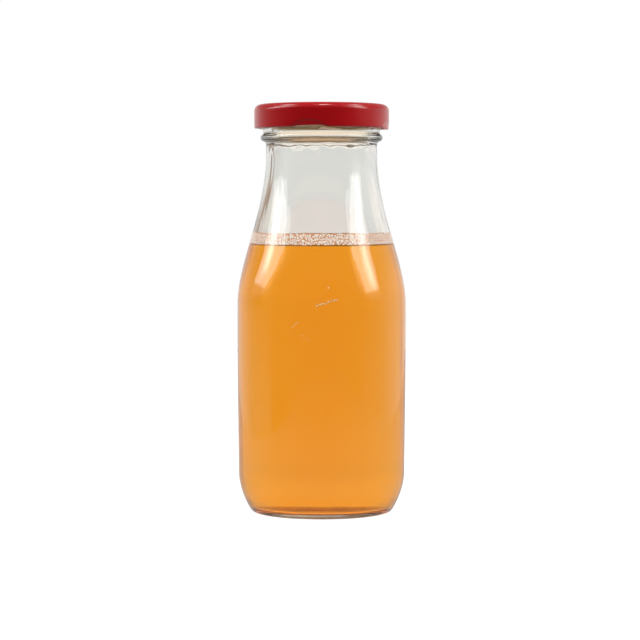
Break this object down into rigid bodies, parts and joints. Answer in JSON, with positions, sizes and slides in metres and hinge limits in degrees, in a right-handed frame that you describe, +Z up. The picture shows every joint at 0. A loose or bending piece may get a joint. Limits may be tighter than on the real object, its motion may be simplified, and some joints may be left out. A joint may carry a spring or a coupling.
{
  "type": "glass juice bottle with twist-off cap",
  "caption": "Clear glass milk-style bottle with a wide neck, filled with amber juice and closed by a red lug cap.",
  "frame": {"origin": "centre of the ring that the bottle stands on", "axes": "+Z up through the neck; -Y is the front"},
  "size_m": [0.0578, 0.0578, 0.1394],
  "materials": {
    "clear_glass": "polished",
    "red_lacquer": "gloss",
    "seal_compound": "matte",
    "juice": "polished",
    "froth": "satin"
  },
  "bodies": {
    "bottle": {"glass_bottle": "clear_glass", "juice": "juice", "froth_ring": "froth"},
    "seal": {"cap_seal": "seal_compound"},
    "cap": {"cap_shell": "red_lacquer"}
  },
  "joints": [
    {"name": "cap_lift", "type": "slide", "parent": "bottle", "child": "seal", "axis": [0, 0, 1], "range_m": [0, 0.016]},
    {"name": "cap_turn", "type": "hinge", "parent": "seal", "child": "cap", "pos_m": [0, 0, 0.1311], "axis": [0, 0, 1], "range_deg": [0, 360]}
  ],
  "couplings": [
    {"joint": "cap_lift", "follows": "cap_turn", "m_per_rad": 0.002546}
  ]
}
